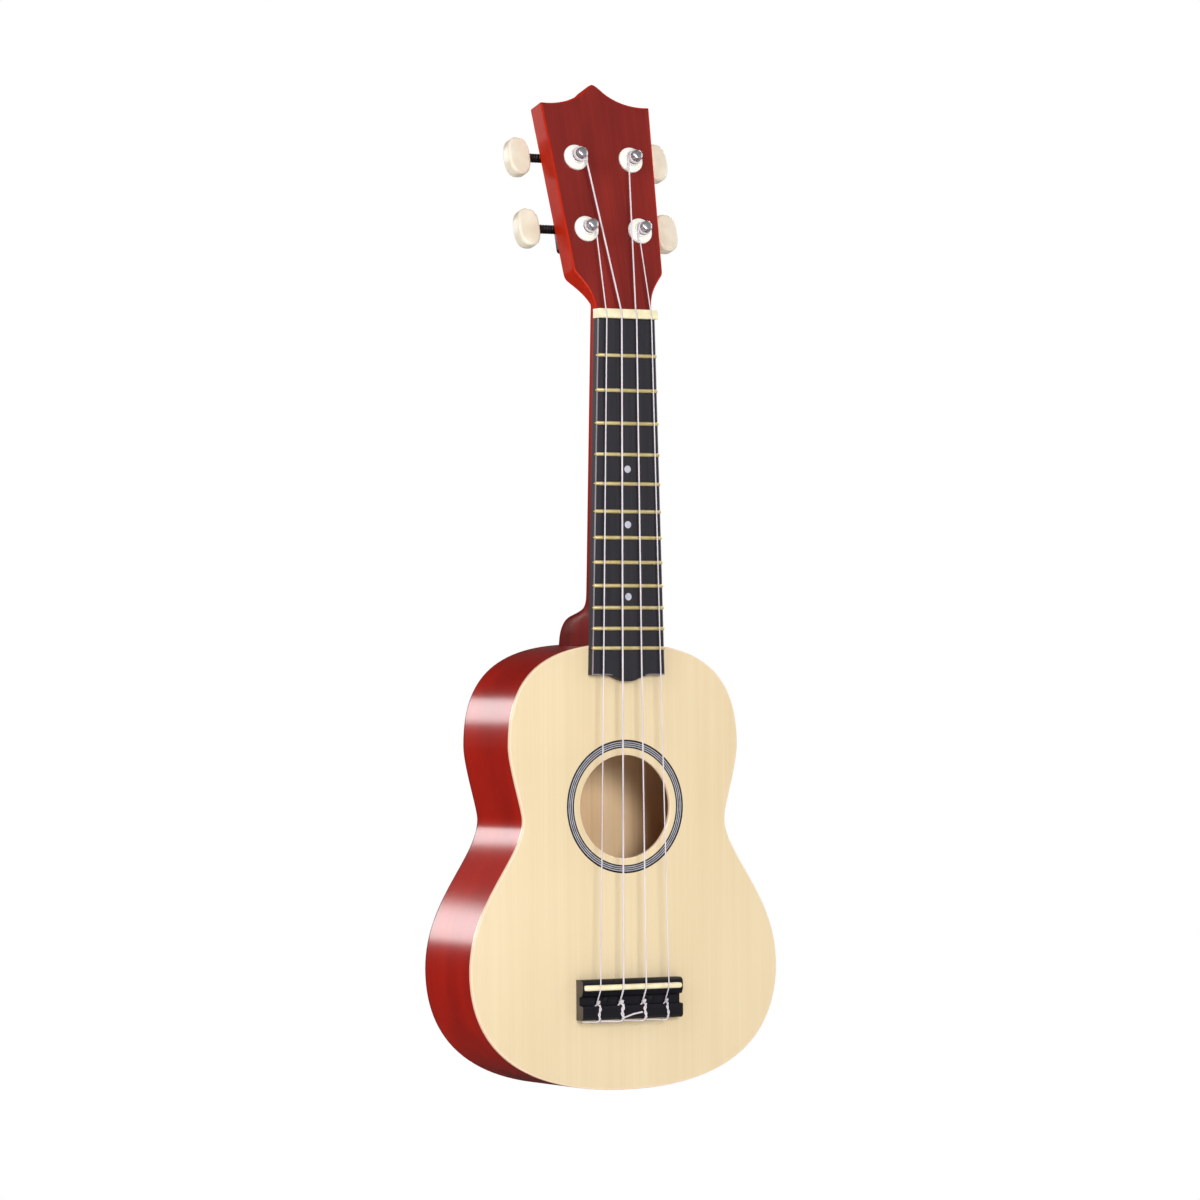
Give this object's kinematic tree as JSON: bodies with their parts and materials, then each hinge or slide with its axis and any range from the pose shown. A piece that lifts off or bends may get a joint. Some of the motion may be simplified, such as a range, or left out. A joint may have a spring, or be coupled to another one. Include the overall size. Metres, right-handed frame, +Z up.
{
  "type": "soprano ukulele",
  "caption": "Small guitar-shaped instrument with a pale soundboard, glossy red-brown body and neck, dark fretboard and bridge, nylon strings and geared tuners.",
  "frame": {"origin": "middle of the nut's front edge, level with the soundboard's face, where a wall hanger's fork takes the neck below the head", "axes": "+X to the right of someone facing the front, +Y out of the back, +Z up the neck to the head"},
  "size_m": [0.1852, 0.0616, 0.5332],
  "materials": {
    "soundboard_spruce": "satin pale spruce with fine upright grain",
    "rosette_inlay": "flush rings of black and pale wood",
    "red_gloss_wood": "red-brown stain under clear gloss lacquer",
    "bare_wood": "bare sanded",
    "dark_wood": "near-black, low satin sheen",
    "bone": "polished cream bone look",
    "fret_brass": "polished",
    "nylon": "clear nylon, smooth",
    "cream_plastic": "smooth moulded cream",
    "black_metal": "black satin",
    "chrome": "polished",
    "gear_brass": "machined"
  },
  "bodies": {
    "instrument": {"soundboard": "soundboard_spruce", "rosette": "rosette_inlay", "back_plate": "red_gloss_wood", "side_bass": "red_gloss_wood", "side_treble": "red_gloss_wood", "neck": "red_gloss_wood", "lining_front_bass": "bare_wood", "lining_front_treble": "bare_wood", "lining_back_bass": "bare_wood", "lining_back_treble": "bare_wood", "neck_block": "bare_wood", "tail_block": "bare_wood", "brace_front_upper": "bare_wood", "brace_front_lower": "bare_wood", "brace_back_upper": "bare_wood", "brace_back_lower": "bare_wood", "fretboard": "dark_wood", "bridge": "dark_wood", "nut": "bone", "saddle": "bone", "fret_01": "fret_brass", "fret_02": "fret_brass", "fret_03": "fret_brass", "fret_04": "fret_brass", "fret_05": "fret_brass", "fret_06": "fret_brass", "fret_07": "fret_brass", "fret_08": "fret_brass", "fret_09": "fret_brass", "fret_10": "fret_brass", "fret_11": "fret_brass", "fret_12": "fret_brass", "string_g": "nylon", "string_c": "nylon", "string_e": "nylon", "string_a": "nylon", "tuner_bushing_g": "cream_plastic", "tuner_housing_g": "black_metal", "tuner_bushing_c": "cream_plastic", "tuner_housing_c": "black_metal", "tuner_bushing_e": "cream_plastic", "tuner_housing_e": "black_metal", "tuner_bushing_a": "cream_plastic", "tuner_housing_a": "black_metal"},
    "key_g": {"tuner_worm_g": "black_metal", "tuner_button_g": "cream_plastic"},
    "capstan_g": {"tuner_post_g": "chrome", "tuner_gear_g": "gear_brass"},
    "key_c": {"tuner_worm_c": "black_metal", "tuner_button_c": "cream_plastic"},
    "capstan_c": {"tuner_post_c": "chrome", "tuner_gear_c": "gear_brass"},
    "key_e": {"tuner_worm_e": "black_metal", "tuner_button_e": "cream_plastic"},
    "capstan_e": {"tuner_post_e": "chrome", "tuner_gear_e": "gear_brass"},
    "key_a": {"tuner_worm_a": "black_metal", "tuner_button_a": "cream_plastic"},
    "capstan_a": {"tuner_post_a": "chrome", "tuner_gear_a": "gear_brass"}
  },
  "joints": [
    {"name": "key_g_turn", "type": "hinge", "parent": "instrument", "child": "key_g", "pos_m": [-0.0163, 0.02765, 0.04863], "axis": [1, 0, 0], "continuous": true},
    {"name": "post_g_turn", "type": "hinge", "parent": "instrument", "child": "capstan_g", "pos_m": [-0.0163, 0.00932, 0.04783], "axis": [0, -0.9662, 0.2578], "continuous": true},
    {"name": "key_c_turn", "type": "hinge", "parent": "instrument", "child": "key_c", "pos_m": [-0.0167, 0.03796, 0.08728], "axis": [1, 0, 0], "continuous": true},
    {"name": "post_c_turn", "type": "hinge", "parent": "instrument", "child": "capstan_c", "pos_m": [-0.0167, 0.01963, 0.08647], "axis": [0, -0.9662, 0.2578], "continuous": true},
    {"name": "key_e_turn", "type": "hinge", "parent": "instrument", "child": "key_e", "pos_m": [0.0167, 0.03796, 0.08728], "axis": [1, 0, 0], "continuous": true},
    {"name": "post_e_turn", "type": "hinge", "parent": "instrument", "child": "capstan_e", "pos_m": [0.0167, 0.01963, 0.08647], "axis": [0, -0.9662, 0.2578], "continuous": true},
    {"name": "key_a_turn", "type": "hinge", "parent": "instrument", "child": "key_a", "pos_m": [0.0163, 0.02765, 0.04863], "axis": [1, 0, 0], "continuous": true},
    {"name": "post_a_turn", "type": "hinge", "parent": "instrument", "child": "capstan_a", "pos_m": [0.0163, 0.00932, 0.04783], "axis": [0, -0.9662, 0.2578], "continuous": true}
  ],
  "couplings": [
    {"joint": "post_g_turn", "follows": "key_g_turn", "ratio": 0.083333},
    {"joint": "post_c_turn", "follows": "key_c_turn", "ratio": 0.083333},
    {"joint": "post_e_turn", "follows": "key_e_turn", "ratio": 0.083333},
    {"joint": "post_a_turn", "follows": "key_a_turn", "ratio": 0.083333}
  ]
}
